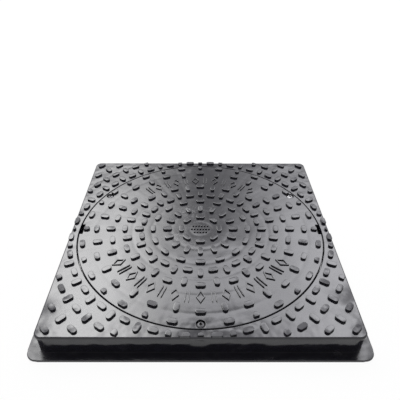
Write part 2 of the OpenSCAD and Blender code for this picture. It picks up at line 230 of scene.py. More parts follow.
def lugs(places, length, width, profile, base_z, rays=lug_rays):
    """Rounded lugs. A place is (radius, angle, along, planes, hole): a bar with round ends, lying along or
    across the radius, trimmed by planes (nx, ny, reach) and by a hole (x, y, r). Each row of the profile
    is (inset from the outline, height), and its ring is where rays from the middle of the lug meet the
    outline moved in by that inset, found by halving."""
    n = len(places)
    r, a, along = (np.array([p[k] for p in places], float) for k in range(3))
    a = np.radians(a)
    mid = np.stack([r * np.cos(a), r * np.sin(a)], -1)
    turn = a + np.where(along > 0, 0, np.pi / 2)
    axis = np.stack([np.cos(turn), np.sin(turn)], -1)
    planes = np.array([(list(p[3]) + [no_plane, no_plane])[:2] for p in places], float)
    holes = np.array([p[4] or no_hole for p in places], float)
    radius, straight = width / 2, (length - width) / 2

    slope = (planes[:, :, :2] * axis[:, None]).sum(-1)
    room = planes[:, :, 2] - (planes[:, :, :2] * mid[:, None]).sum(-1)
    bound = np.where(abs(slope) > 1e-6, room / np.where(abs(slope) > 1e-6, slope, 1), 1e3)
    far = np.where(slope > 1e-6, bound, 1e3).min(1).clip(max=length / 2)
    near = np.where(slope < -1e-6, bound, -1e3).max(1).clip(min=-length / 2)
    centre = mid + axis * ((far + near) / 2)[:, None]

    def distance(points):
        d = points - mid[:, None]
        t = (d * axis[:, None]).sum(-1).clip(-straight, straight)
        out = np.linalg.norm(d - t[..., None] * axis[:, None], axis=-1) - radius
        for k in range(2):
            side = (points * planes[:, k, None, :2]).sum(-1) - planes[:, k, None, 2]
            out = blunt_max(out, side)
        to_hole = np.linalg.norm(points - holes[:, None, :2], axis=-1)
        return blunt_max(out, holes[:, None, 2] - to_hole)

    x, y = bar_outline(radius, straight, rays)
    ray = np.arctan2(y, x)[None] + turn[:, None]
    ray = np.stack([np.cos(ray), np.sin(ray)], -1)
    thin = np.clip(-distance(centre[:, None])[:, 0] / radius, 0.2, 1)

    rings = []
    for inset, z in profile:
        inset = inset * (thin if inset > 0 else np.ones(n))
        low, high = np.zeros((n, rays)), np.full((n, rays), length)
        for _ in range(22):
            middle = (low + high) / 2
            inside = distance(centre[:, None] + ray * middle[..., None]) + inset[:, None] < 0
            low, high = np.where(inside, middle, low), np.where(inside, high, middle)
        flat = centre[:, None] + ray * low[..., None]
        rings.append(np.concatenate([flat, np.full((n, rays, 1), base_z + z)], -1))
    rings = np.stack(rings, 1)
    last_rise = profile[-1][1] - profile[-2][1]
    top = np.column_stack([centre, np.full(n, base_z + profile[-1][1] + last_rise / 2)])
    rows = len(profile)
    points = np.concatenate([rings.reshape(n, -1, 3), top[:, None]], 1)
    ring = quads(rows, rays)
    last = (rows - 1) * rays + np.arange(rays)
    cap = np.stack([last, np.roll(last, -1), np.full(rays, rows * rays)], -1)
    foot = np.arange(rays)[::-1]
    step = rows * rays + 1
    faces = []
    for k in range(n):
        faces += (ring + k * step).tolist() + (cap + k * step).tolist() + [(foot + k * step).tolist()]
    return points.reshape(-1, 3), faces


def frame_lug_places():
    """Four rings of 64 places. Lugs lie along and across the radius by turns, are cut off square near the
    plate's edge, and are left out where little of them would stand on the plate."""
    places = []
    side = plate_half - lug_side_in
    for k in range(frame_rings):
        for i in range(frame_places):
            a = i * 360 / frame_places
            along = (k + i) % 2 == 0
            if k == 0:
                start = (lug_l if along else lug_w) / 2
            else:
                start = (lug_l + lug_w) / 4 + k * frame_lug_step
            r = well_r + well_lug_out + start
            c, s = np.cos(np.radians(a)), np.sin(np.radians(a))
            big, small = max(abs(c), abs(s)), min(abs(c), abs(s))
            if r * big >= plate_half + lug_keep_out:
                continue
            end_r = (plate_half - lug_trim_in - lug_w / 2 * small) / big
            planes = []
            if along and end_r < r + lug_l / 2:
                if end_r <= r - lug_l / 2 + least_lug_l:
                    continue
                planes.append((c, s, end_r))
            if not along:
                planes += [(np.sign(v), 0.0, side) if axis == 0 else (0.0, np.sign(v), side)
                           for axis, v in ((0, c), (1, s)) if abs(v) * r + lug_l > side]
            places.append((r, a, along, planes, None))
    return places


def plate_shell():
    """The plate with all that is round in it: rings from the well's edge, down over the ledge, its groove
    and the collar, out under the plate and over its rounded edge."""
    well_edge = 0.7
    rings = [round_ring(well_r + well_edge * (1 - np.sin(a)), plate_top - well_edge * (1 - np.cos(a)))
             for a in np.radians((0, 30, 60, 90))]
    rings += [round_ring(r, z) for r, z in (
        (well_r, ledge_z + 0.8), (well_r - 0.24, ledge_z + 0.24), (well_r - 0.8, ledge_z),
        (groove_out_r + 0.3, ledge_z), (groove_out_r, ledge_z - 0.3), (groove_out_r, groove_z),
        (groove_in_r, groove_z), (groove_in_r, ledge_z), (clear_r + 0.6, ledge_z), (clear_r, ledge_z - 0.6),
        (clear_r, 0.4), (clear_r + 0.4, 0), (clear_r + wall - 0.4, 0), (clear_r + wall, 0.4),
        (clear_r + wall, ledge_foot_z), (well_r + wall, ledge_foot_z), (well_r + wall, plate_top - plate_t))]
    rings += [square_ring(plate_half, plate_corner_r, plate_top - plate_t)]
    rings += [square_ring(plate_half - plate_edge_r * (1 - np.cos(a)),
                          plate_corner_r - plate_edge_r * (1 - np.cos(a)),
                          plate_top - plate_edge_r * (1 - np.sin(a))) for a in np.radians(range(0, 91, 15))]
    return np.concatenate(rings), quads(len(rings), path_steps, closed_rows=True)


def skirt_shell():
    """The skirt and its base flange: rings down inside the wall, round the flange and up the outside. The
    wall ends inside the plate, and its corners are rounder than the plate's."""
    foot_fillet, flange_edge, top_z = 0.3, 0.9, plate_top - plate_t + 1.5
    inner, corner = plate_half - wall, skirt_corner_r - wall
    rings = [square_ring(inner, corner, top_z), square_ring(inner, corner, 0.4),
             square_ring(inner + 0.4, corner, 0)]
    rings += [square_ring(flange_half - flange_edge * (1 - np.cos(a)), flange_corner_r,
                          flange_edge * (1 - np.sin(a)), flange_swell) for a in np.radians((90, 45, 0))]
    rings += [square_ring(flange_half - flange_edge * (1 - np.cos(a)), flange_corner_r,
                          flange_t - flange_edge * (1 - np.sin(a)), flange_swell)
              for a in np.radians((0, 30, 60, 90))]
    for a in np.radians((90, 45, 0)):
        out = foot_fillet * (1 - np.cos(a))
        rings.append(square_ring(plate_half + out, skirt_corner_r + out,
                                 flange_t + foot_fillet * (1 - np.sin(a))))
    rings += [square_ring(plate_half, skirt_corner_r, plate_top - plate_t),
              square_ring(plate_half - 0.02, skirt_corner_r, plate_top - plate_t),
              square_ring(plate_half - 0.02, skirt_corner_r, top_z)]
    return np.concatenate(rings), quads(len(rings), path_steps, closed_rows=True)


def insert_boss(angle):
    """Boss under the ledge with a blind hole for the insert."""
    foot_z, mouth_z = insert_foot_z - frame_boss_floor, ledge_foot_z + 2.3
    cup = section((0.05, foot_z), (frame_boss_r - 0.6, foot_z), (frame_boss_r, foot_z + 0.6),
                  (frame_boss_r, mouth_z), (insert_hole_r, mouth_z), (insert_hole_r, insert_foot_z),
                  (0.05, insert_foot_z))
    return turned(cup, 40, centre=screw_place(angle))


def wall_reach(angle):
    """How far out the middle of the skirt's wall lies at an angle."""
    half, r = plate_half - wall / 2, skirt_corner_r - wall / 2
    big, small = sorted((abs(np.cos(np.radians(angle))), abs(np.sin(np.radians(angle)))), reverse=True)
    if half / big * small <= half - r:
        return half / big
    middle = (half - r) * (big + small)
    return middle + np.sqrt(middle ** 2 - 2 * (half - r) ** 2 + r ** 2)


def frame_ribs_below():
    """Ribs from the collar to the skirt, and one curved rib across each corner."""
    bars = []
    foot_z, top_z = frame_rib_lift, plate_top - 2
    for i in range(frame_ribs):
        a = i * 360 / frame_ribs
        bars.append(box_bar(clear_r + wall - 1, well_r + 1, frame_rib_t, foot_z, ledge_foot_z + 1, a))
        bars.append(box_bar(well_r + 1, wall_reach(a), frame_rib_t, foot_z, top_z, a))
    limit = np.degrees(np.arccos((plate_half - wall / 2) / corner_rib_r))
    for quarter in range(4):
        a = np.radians(np.linspace(limit, 90 - limit, 25) + 90 * quarter)
        h = frame_rib_t / 2
        across = section((corner_rib_r + h, top_z), (corner_rib_r - h, top_z),
                         (corner_rib_r - h, foot_z + 0.4), (corner_rib_r - h + 0.4, foot_z),
                         (corner_rib_r + h - 0.4, foot_z), (corner_rib_r + h, foot_z + 0.4))
        points = np.stack([np.outer(np.cos(a), across[:, 0]), np.outer(np.sin(a), across[:, 0]),
                           np.tile(across[:, 1], (len(a), 1))], -1).reshape(-1, 3)
        n = len(across)
        caps = [tuple(range(n))[::-1], tuple(range(len(points) - n, len(points)))]
        bars.append((points, quads(len(a), n)[:, ::-1].tolist() + caps))
    return bars


class Value:
    """A number that varies over a finish. Python's operators on it add the finish's Math nodes."""

    def __init__(self, nodes, socket):
        self.nodes, self.socket = nodes, socket

    def __add__(self, other):
        return self.nodes.maths("ADD", self, other)

    def __sub__(self, other):
        return self.nodes.maths("SUBTRACT", self, other)

    def __rsub__(self, other):
        return self.nodes.maths("SUBTRACT", other, self)

    def __mul__(self, other):
        return self.nodes.maths("MULTIPLY", self, other)

    def __truediv__(self, other):
        return self.nodes.maths("DIVIDE", self, other)

    def __pow__(self, other):
        return self.nodes.maths("POWER", self, other)

    __radd__, __rmul__ = __add__, __mul__


class Nodes:
    """The nodes of one finish, lamp or sky."""

    def __init__(self, owner):
        owner.use_nodes = True
        self.tree = owner.node_tree

    def add(self, kind, settings=None, sockets=None, out=0):
        """A node of any kind: its settings first, then the values or links of its sockets."""
        node = self.tree.nodes.new(kind)
        for name, value in (settings or {}).items():
            setattr(node, name, value)
        for name, value in (sockets or {}).items():
            self.feed(node.inputs[name], value)
        return Value(self, node.outputs[out])

    def feed(self, socket, value):
        """Links a varying value to a socket, or sets a plain one on it."""
        if isinstance(value, Value):
            self.tree.links.new(value.socket, socket)
        else:
            socket.default_value = value

    def maths(self, operation, *values):
        return self.add("ShaderNodeMath", {"operation": operation}, dict(enumerate(values)))

    def parts(self, vector):
        """The x, y and z of a vector."""
        split = self.tree.nodes.new("ShaderNodeSeparateXYZ")
        self.feed(split.inputs[0], vector)
        return [Value(self, socket) for socket in split.outputs]

    def ramp(self, value, low, high, soft=True):
        """0 below the low value, 1 above the high one."""
        return self.add("ShaderNodeMapRange", {"interpolation_type": "SMOOTHSTEP" if soft else "LINEAR"},
                        {"Value": value, "From Min": low, "From Max": high})

    def bell(self, distance, width):
        """1 at a distance of nought, falling to nought over the width."""
        return self.maths("EXPONENT", 0 - (distance / width) ** 2)

    def spot(self, parts, centre, width):
        """1 at a place given in millimetres, falling to nought over the width."""
        away = sum(((part - c * mm) ** 2 for part, c in zip(parts, centre)), 0.0)
        return self.bell(away ** 0.5, width * mm)

    def nearest(self, value, step):
        """Distance of a value from the nearest whole number of steps."""
        part = self.maths("FRACT", value / step + 0.5)
        return self.maths("ABSOLUTE", part - 0.5) * step

    def noise(self, place, scale, detail=2.0, seed=0.0):
        """Noise from 0 to 1 about 0.5, its features 1 / scale metres across."""
        return self.add("ShaderNodeTexNoise", {"noise_dimensions": "4D"},
                        {"Vector": place, "W": seed, "Scale": scale, "Detail": detail, "Roughness": 0.55})

    def mix(self, part, first, second):
        """One colour passing into another."""
        return self.add("ShaderNodeMix", {"data_type": "RGBA"}, {0: part, 6: first, 7: second}, out=2)


def finish_of(name, make):
    """A finish: the make function gets its nodes and its object coordinates, and gives back the colour, the
    roughness, the height of the surface in metres and the plain values of its other sockets."""
    finish = bpy.data.materials.new(name)
    nodes = Nodes(finish)
    colour, roughness, height, plain = make(nodes, nodes.add("ShaderNodeTexCoord", out="Object"))
    shader = nodes.tree.nodes["Principled BSDF"]
    nodes.feed(shader.inputs["Base Color"], colour)
    nodes.feed(shader.inputs["Roughness"], roughness)
    nodes.feed(shader.inputs["Normal"], nodes.add("ShaderNodeBump", None, {
        "Strength": 1.0, "Distance": 1.0, "Height": height}))
    for socket, value in plain.items():
        shader.inputs[socket].default_value = value
    return finish


deep_black, scuffed_black = (0.0055, 0.005, 0.0098, 1), (0.018, 0.0172, 0.0225, 1)
milky_grey = (0.12, 0.12, 0.125, 1)


def polypropylene(name, rib_turns, ring_first, ring_step, seed, milky, dents, smears=()):
    """Black moulded polypropylene: satin gloss, a faint warp from cooling, sink lines over the ribs, lug
    tops dulled in patches, a duller base flange, and pale scuffs from handling. Each milky patch is
    (x, y, reach, strength), each dent is (x, y, z, width, depth), and each dull smear is (x, y, width)."""
    def make(nodes, place):
        x, y, z = nodes.parts(place)
        r = (x * x + y * y) ** 0.5
        turns = nodes.nearest(nodes.maths("ARCTAN2", y, x), 2 * np.pi / rib_turns)
        ring_line = nodes.bell(nodes.nearest(r - ring_first * mm, ring_step * mm), 4.0 * mm)
        rib_line = nodes.bell(turns * r, 4.0 * mm) * nodes.ramp(r, 60 * mm, 150 * mm)
        slow = nodes.noise(place, 14, 1.0, seed)
        warp = nodes.noise(place, 38, 1.5, seed + 3)
        scuff = nodes.ramp(nodes.noise(place, 60, 5.0, seed + 11), 0.56, 0.74)
        lug_top = nodes.ramp(z, (plate_top + 3.0) * mm, (plate_top + 3.4) * mm)
        edge = nodes.ramp(nodes.maths("MAXIMUM", nodes.maths("ABSOLUTE", x), nodes.maths("ABSOLUTE", y)),
                          190 * mm, 235 * mm)
        dulled = lug_top * nodes.ramp(nodes.noise(place, 32, 3.0, seed + 7) + edge * 0.08, 0.48, 0.66)
        low = 1 - nodes.ramp(z, (flange_t + 1) * mm, (flange_t + 2) * mm)
        rubbed = (nodes.ramp(nodes.noise(place, 240, 6.0, seed + 13), 0.45, 0.65)
                  * sum((nodes.spot((x, y), patch[:2], patch[2]) * patch[3] for patch in milky), 0.0))
        smeared = (nodes.ramp(nodes.noise(place, 45, 2.0, seed + 17), 0.3, 0.6)
                   * sum((nodes.spot((x, y), smear[:2], smear[2]) for smear in smears), 0.0))
        dented = sum((nodes.spot((x, y, z), dent[:3], dent[3]) * dent[4] for dent in dents), 0.0)
        colour = nodes.mix(rubbed, nodes.mix(scuff, deep_black, scuffed_black), milky_grey)
        roughness = (0.1 + scuff * 0.1 + warp * 0.04 + rubbed * 0.15 + dulled * 0.42 + low * 0.1
                     + smeared * 0.4)
        height = (slow * 1.2 + warp * (0.32 + edge * 1.0) - ring_line * 0.13 - rib_line * 0.045
                  - dented) * mm
        return colour, roughness, height, {"IOR": 1.5}

    return finish_of(name, make)


insert_tools = [turned(section((0.05, insert_foot_z - 0.2), (insert_hole_r, insert_foot_z - 0.2),
                               (insert_hole_r, ledge_z + 1), (0.05, ledge_z + 1)), 40, centre=screw_place(a))
                for a in screw_angles]
frame_base = cut(make_mesh("frame_base", [plate_shell()]), insert_tools)
frame_rest = make_mesh("frame_rest", [skirt_shell()] + frame_ribs_below()
                       + [insert_boss(a) for a in screw_angles]
                       + [lugs(frame_lug_places(), lug_l, lug_w, lug_profile, plate_top)])
frame_finish = polypropylene(
    "frame_black", rib_turns=frame_ribs, ring_first=corner_rib_r - 200, ring_step=200, seed=1.0,
    milky=[(-185, -180, 35, 0.2)], dents=[(0, -plate_half, 27, 15, 1.6)],
    smears=[(-240, -190, 22), (-236, -230, 16), (236, -165, 28), (242, -215, 18)])
piece("square_frame", [frame_base, frame_rest], "frame_body", "frame", frame_finish)

# Round cover
# One moulding in the same black polypropylene: a plate with an outer rim, an
# inner rim that presses on the seal, ribs and screw bosses below, and lugs,
# line pattern and two lifting slots above. It drops into the frame's well.
cover_t, rim_t, rim_depth = 5, 3.5, 15.7
rim_foot_z, under_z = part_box("cover")[1].z / mm - lug_h - rim_depth, plate_top - cover_t
groove_clear, seal_w, seat_gap = 0.1, 5, 0.2
press_in_r = groove_in_r + groove_clear + (seal_w - rim_t) / 2
press_foot_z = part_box("sealing_ring")[1].z / mm + seat_gap
rib_foot_z, rib_t, cover_ribs = plate_top - 23, 3.0, 24
rib_ring_first, rib_ring_step = 20, 36
rib_rings = [rib_ring_first + rib_ring_step * k for k in range(6)]
slot_l, slot_in_r = 28.5, cover_r - 6.8
bore_r, bore_floor_z, shank_hole_r = 7.5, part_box("front_washer")[0].z / mm, 3.3
bore_mouth_r, cover_boss_r = bore_r + 0.7, 8.5
cover_places, edge_ring, edge_ring_step, edge_lug_in = 32, 8, 27, 4.25
lug_ring_first, lug_ring_step = 35.5, 26.75
side_lugs = (0, 1, 2, 3, 13, 14, 15, 16, 17, 18, 30, 31)
band_r, band_h, line_w, line_h, motif_step = 166.75, 26.0, 1.8, 2.0, 7.2
lozenge_w, pair_gap, dash_l = 15.0, 6.0, 3.6
dash_rows, dash_step, dash_row_step = (6, 7, 5), 5.4, 9
bore_places = [screw_place(a) for a in screw_angles]


def cover_shell():
    """Closed section of the cover, turned about its axis."""
    edge = 1.1
    return turned(section(
        (0.05, under_z), (press_in_r, under_z), (press_in_r, press_foot_z + 0.4),
        (press_in_r + 0.4, press_foot_z), (press_in_r + rim_t - 0.4, press_foot_z),
        (press_in_r + rim_t, press_foot_z + 0.4), (press_in_r + rim_t, under_z),
        (cover_r - rim_t, under_z), (cover_r - rim_t, rim_foot_z + 0.4), (cover_r - rim_t + 0.4, rim_foot_z),
        (cover_r - 0.4, rim_foot_z), (cover_r, rim_foot_z + 0.4),
        arc((cover_r - edge, plate_top - edge), edge, 0, 90, 5), (0.05, plate_top)))


def cover_tools():
    """What is cut out of the cover: a counterbore with an eased mouth at each screw, and two slots."""
    tools = []
    for place in bore_places:
        tools.append(turned(section((0.05, under_z - 1), (bore_r, under_z - 1), (bore_r, plate_top - 0.7),
                                    (bore_r + 0.2, plate_top - 0.2), (bore_mouth_r, plate_top),
                                    (bore_mouth_r, plate_top + 1), (0.05, plate_top + 1)), 56, centre=place))
        tools.append(turned(section((0.05, rim_foot_z - 1), (shank_hole_r, rim_foot_z - 1),
                                    (shank_hole_r, under_z - 0.5), (0.05, under_z - 0.5)), 40, centre=place))
    for side in (1, -1):
        x = np.array([slot_in_r, cover_r + 2]) * side
        y = slot_l / 2 * side
        corners = np.array([(x[0], -y), (x[1], -y), (x[1], y), (x[0], y)])
        points = np.concatenate([np.column_stack([corners, np.full(4, z)])
                                 for z in (rim_foot_z - 1, plate_top + 1)])
        tools.append((points, quads(2, 4).tolist() + [(3, 2, 1, 0), (4, 5, 6, 7)]))
    return tools


def cover_lug_places():
    """Eight rings of lugs. Even places count from the middle and odd ones from the edge; the outermost ring
    has whole lugs across the radius and short ones along it, with one behind each slot. The right and left
    screws' bores cut into a lug each, and the front one takes the place of a lug."""
    def r_of(k, i):
        if i % 2:
            return screw_r - (edge_ring - k) * edge_ring_step
        return lug_ring_first + (k - 1) * lug_ring_step

    places = [(r_of(k, 0), i * 360 / count, along, [], None)
              for k, count, along in ((1, 8, 0), (2, 16, 1), (3, 16, 0)) for i in range(count)]
    step = 360 / cover_places
    for k in (4, 5, 6, 7):
        for i in range(cover_places):
            if k != 6 or i in side_lugs:
                places.append((r_of(k, i), i * step, (k + i) % 2 == 0, [], None))
    for i in range(cover_places):
        a = i * step
        beam = (np.cos(np.radians(a)), np.sin(np.radians(a)))
        if i % 2:
            hole = {3: (*bore_places[1], bore_mouth_r), 13: (*bore_places[2], bore_mouth_r)}.get(i)
            places.append((screw_r, a, 0, [], hole))
        elif i in (0, 16):
            places.append((screw_r, a, 1, [(*beam, slot_in_r)], None))
        elif i != 24:
            places.append((cover_r - edge_lug_in, a, 1, [(*beam, cover_r - edge_lug_in)], None))
    return places


def raised_line_ring(centre_r, angle):
    """Open lozenge of a rounded line: four rings of corners, outside foot to inside foot."""
    slant = np.hypot(lozenge_w / 2, band_h / 2)
    long_k, wide_k = slant / (lozenge_w / 2), slant / (band_h / 2)
    rows = []
    for inset, z in ((-0.05, -0.3), (0, 0.1), (0.1, line_h - 0.18), (0.35, line_h), (line_w - 0.35, line_h),
                     (line_w - 0.1, line_h - 0.18), (line_w, 0.1), (line_w + 0.05, -0.3)):
        h, w = band_h / 2 - inset * long_k, lozenge_w / 2 - inset * wide_k
        rows.append([(h, 0, z), (0, w, z), (-h, 0, z), (0, -w, z)])
    p = np.array(rows).reshape(-1, 3)
    c, s = np.cos(np.radians(angle)), np.sin(np.radians(angle))
    x = p[:, 0] + centre_r
    points = np.column_stack([x * c - p[:, 1] * s, x * s + p[:, 1] * c, p[:, 2] + plate_top])
    return points, quads(len(rows), 4, closed_rows=True)


line_profile = np.array([(-0.05, -0.3), (0.0, 0.1), (0.1, line_h - 0.18), (0.35, line_h)])
line_rays = 16


def pattern_band(start, end):
    """Lozenges and pairs of lines by turns along one band."""
    steps = int((end - start) // motif_step)
    first = (start + end - steps * motif_step) / 2
    shells, bars = [], []
    for i in range(steps + 1):
        a = first + i * motif_step
        if i % 2 == 0:
            shells.append(raised_line_ring(band_r, a))
        else:
            lean = np.degrees(np.arctan(pair_gap / 2 / band_r))
            reach = np.hypot(band_r, pair_gap / 2)
            bars += [(reach, a + side * lean, 1, [], None) for side in (-1, 1)]
    return shells + [lugs(bars, band_h, line_w, line_profile, plate_top, line_rays)]


def middle_dashes():
    """Three rows of short raised dashes at the middle, side to side."""
    dash, faces = lugs([(0, 0, 1, [], None)], dash_l, line_w, line_profile, plate_top, line_rays)
    return [(dash + [(i - (count - 1) / 2) * dash_step, (1 - row) * dash_row_step, 0], faces)
            for row, count in enumerate(dash_rows) for i in range(count)]


def cover_ribs_below():
    """Rings of ribs and straight ribs, twice as many in the outer part, and a boss at each screw."""
    shells = []
    for r in rib_rings:
        h = rib_t / 2
        shells.append(turned(section(
            (r - h, under_z + 1), (r - h, rib_foot_z + 0.4), (r - h + 0.4, rib_foot_z),
            (r + h - 0.4, rib_foot_z), (r + h, rib_foot_z + 0.4), (r + h, under_z + 1)), 180))
    for i in range(cover_ribs):
        inner = rib_rings[0] if i % 2 == 0 else rib_rings[2]
        a = i * 360 / cover_ribs
        shells.append(box_bar(inner, rib_rings[-1], rib_t, rib_foot_z, under_z + 1, a, 0.4))
    for place in bore_places:
        shells.append(turned(section(
            (shank_hole_r, press_foot_z), (cover_boss_r - 0.4, press_foot_z),
            (cover_boss_r, press_foot_z + 0.4), (cover_boss_r, under_z + 0.6),
            (bore_r + 0.3, under_z + 0.6), (bore_r + 0.3, bore_floor_z), (shank_hole_r, bore_floor_z)),
            56, centre=place))
    return shells


cover_base = cut(make_mesh("cover_base", [cover_shell()]), cover_tools())
cover_rest = make_mesh("cover_rest", cover_ribs_below()
                       + [lugs(cover_lug_places(), lug_l, lug_w, lug_profile, plate_top)]
                       + pattern_band(-149.5, -30.5) + pattern_band(48, 132) + middle_dashes())
cover_finish = polypropylene(
    "cover_black", rib_turns=cover_ribs, ring_first=rib_ring_first, ring_step=rib_ring_step, seed=5.0,
    milky=[(-20, 30, 60, 0.2), (-26, 54, 15, 0.8), (-41, -21, 11, 0.8), (-13, -47, 14, 0.5)],
    dents=[(60, -60, plate_top, 12, 0.3)])
piece("round_cover", [cover_base, cover_rest], "cover_body", "cover", cover_finish)

# Sealing ring
# Black rubber of a rounded section, laid in the groove of the ledge with its
# ends butted together. A pale bloom of talc stays on it in patches.
seal_in_r, seal_out_r = groove_in_r + groove_clear, groove_out_r - groove_clear
seal_low_z, seal_high_z = (corner.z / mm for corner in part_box("sealing_ring"))
seal_round, seal_joint = 1.2, np.radians(62)


def seal_shell():
    """The ring's section carried round. It draws in a little at the butt joint."""
    outline = section(
        arc((seal_in_r + 0.6, seal_low_z + 0.6), 0.6, 180, 270, 3),
        arc((seal_out_r - 0.6, seal_low_z + 0.6), 0.6, -90, 0, 3),
        arc((seal_out_r - seal_round, seal_high_z - seal_round), seal_round, 0, 90, 6),
        arc((seal_in_r + seal_round, seal_high_z - seal_round), seal_round, 90, 180, 6))
    middle = np.array([(seal_in_r + seal_out_r) / 2, (seal_low_z + seal_high_z) / 2])
    near_joint = seal_joint + np.array([-0.5, -0.25, 0, 0.25, 0.5]) / middle[0]
    a = np.sort(np.concatenate([np.linspace(0, 2 * np.pi, 480, endpoint=False), near_joint]))
    draw_in = 1 - 0.08 * np.exp(-((a - seal_joint) * middle[0] / 0.3) ** 2)
    shape = middle + (outline - middle)[:, None] * draw_in[None, :, None]
    points = np.stack([shape[..., 0] * np.cos(a), shape[..., 0] * np.sin(a), shape[..., 1]], -1)
    return points.reshape(-1, 3), quads(len(outline), len(a), closed_rows=True)


def rubber(nodes, place):
    """Dull black rubber, finely grained, with talc in patches and in a thin line along its middle."""
    x, y = nodes.parts(place)[:2]
    r = (x * x + y * y) ** 0.5
    talc = nodes.ramp(nodes.noise(place, 70, 5.0, 2.0), 0.48, 0.72)
    line = nodes.bell(r - (seal_in_r + seal_out_r) / 2 * mm, 0.5 * mm)
    colour = nodes.mix(talc * 0.7 + line * 0.2, (0.011, 0.011, 0.012, 1), (0.1, 0.1, 0.1, 1))
    height = (nodes.noise(place, 1600, 2.0, 4.0) * 0.03 + line * 0.02) * mm
    return colour, 0.46 + talc * 0.3, height, {"IOR": 1.5}


piece("rubber_ring", [make_mesh("rubber_ring", [seal_shell()])], "frame_body", "sealing_ring",
      finish_of("rubber_black", rubber))

# Threaded inserts
# Turned from brass and pressed hot into the bosses under the ledge. Two
# knurled bands hold each one, and the screw's thread is cut inside it.
insert_in_r, insert_out_r = 3.05, 4.2
thread_pitch = 1.0
knurl_teeth = 36
screw_names = ("front", "right", "left")


def thread_cut(a, z):
    """How deep the thread is at an angle and a height, from 0 at its crest to 1 at its root. It climbs one
    pitch in one turn anticlockwise."""
    turn = (z / thread_pitch - a / (2 * np.pi)) % 1
    return np.clip(abs(2 * turn - 1) * 1.3 - 0.15, 0, 1)


def at_axis(angle, r, a, z):
    """Grid of points about a screw's axis: radii and heights by row, angles by column."""
    x, y = screw_place(angle)
    return np.stack([x + r * np.cos(a), y + r * np.sin(a), z + 0 * r], -1).reshape(-1, 3)


def insert_shell(angle):
    """The outside going up, with knurls that lean one way below and the other way above, then the thread
    going down inside."""
    a = np.linspace(0, 2 * np.pi, knurl_teeth * 4, endpoint=False)[None]
    height = ledge_z - insert_foot_z
    up = np.array([0, 0.25, 1.2, 1.35, 1.6, 2.4, 3.2, 4.0, 4.25, 4.4, 5.2, 5.4, 5.65, 6.5, 7.3, 8.1, 8.9,
                   9.15, height - 0.2, height])[:, None]
    base = np.interp(up, [0, 0.25, 1.2, 1.35, 4.25, 4.4, 5.2, 5.4, 9.15, height - 0.2, height],
                     [3.6, 3.85, 3.85, insert_out_r, insert_out_r, 3.75, 3.75, insert_out_r, insert_out_r,
                      4.1, 3.9])
    lean = np.where(up < 4.8, 0.8, -0.8) * up
    tooth = abs((a * knurl_teeth / (2 * np.pi) + lean) % 1 - 0.5) * 2
    banded = ((up > 1.3) & (up < 4.3)) | ((up > 5.35) & (up < 9.2))
    outside = base - banded * tooth * 0.28
    down = np.concatenate([[height, height - 0.35], np.linspace(height - 0.5, 0.5, 64), [0.35, 0]])[:, None]
    opened = np.interp(down, [0, 0.35, height - 0.35, height], [0.5, 0.0, 0.0, 0.5])
    inside = insert_in_r + np.maximum(opened, 0.45 * thread_cut(a, down))
    return (at_axis(angle, np.concatenate([outside, inside]), a, insert_foot_z + np.concatenate([up, down])),
            quads(len(up) + len(down), a.size, closed_rows=True))


def brass(nodes, place):
    """Yellow brass, bright where it was cut and browner in patches, with fine marks from turning."""
    z = nodes.parts(place)[2]
    tarnish = nodes.ramp(nodes.noise(place, 300, 4.0, 1.0), 0.42, 0.7)
    colour = nodes.mix(tarnish, (0.6, 0.42, 0.16, 1), (0.3, 0.18, 0.07, 1))
    marks = nodes.maths("SINE", z * 2 * np.pi / (0.12 * mm))
    return colour, 0.24 + tarnish * 0.22, marks * 0.002 * mm, {"Metallic": 1.0}


brass_finish = finish_of("brass_yellow", brass)
for name, angle in zip(screw_names, screw_angles):
    piece(name + "_threaded_insert", [make_mesh(name + "_insert", [insert_shell(angle)])], "frame_body",
          name + "_insert", brass_finish)

# Washers
# Punched from black nylon sheet: the upper edge drawn round by the punch, the
# lower one crisp, the faces dull and finely scuffed.
washer_in_r, washer_out_r = 3.08, 6.5
head_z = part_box("front_washer")[1].z / mm


def washer_shell(angle):
    """Closed section of a washer, turned about its screw's axis."""
    return turned(section(
        (washer_in_r + 0.06, bore_floor_z), (washer_out_r - 0.08, bore_floor_z),
        (washer_out_r, bore_floor_z + 0.08), arc((washer_out_r - 0.3, head_z - 0.3), 0.3, 0, 90, 4),
        arc((washer_in_r + 0.2, head_z - 0.2), 0.2, 90, 180, 3), (washer_in_r, bore_floor_z + 0.06)),
        72, centre=screw_place(angle))


def nylon(nodes, place):
    """Black nylon, dull, with short pale scuffs and a fine grain."""
    scuff = nodes.ramp(nodes.noise(place, 500, 4.0, 6.0), 0.55, 0.72)
    colour = nodes.mix(scuff, (0.012, 0.012, 0.013, 1), (0.04, 0.04, 0.042, 1))
    height = (nodes.noise(place, 2200, 2.0, 8.0) * 0.012 - scuff * 0.008) * mm
    return colour, 0.38 + scuff * 0.25, height, {"IOR": 1.53}


nylon_finish = finish_of("nylon_black", nylon)
for name, angle in zip(screw_names, screw_angles):
    piece(name + "_flat_washer", [make_mesh(name + "_washer", [washer_shell(angle)])], name + "_washer_body",
          name + "_washer", nylon_finish)

# Screws
# Pan-head screws with a cross recess and a rolled thread. The front and left
# ones get a darker steel, painted shade for the dark reflections on them, and
# the right one is bright stainless steel.
head_r, head_top_z, dome_r = 6.0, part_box("front_screw")[1].z / mm, 10.8
shank_r, thread_depth, tip_z = 3.0, 0.58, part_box("front_screw")[0].z / mm
cross_floor_z, cross_half_l, cross_half_w = head_top_z - 1.9, 3.3, 1.05


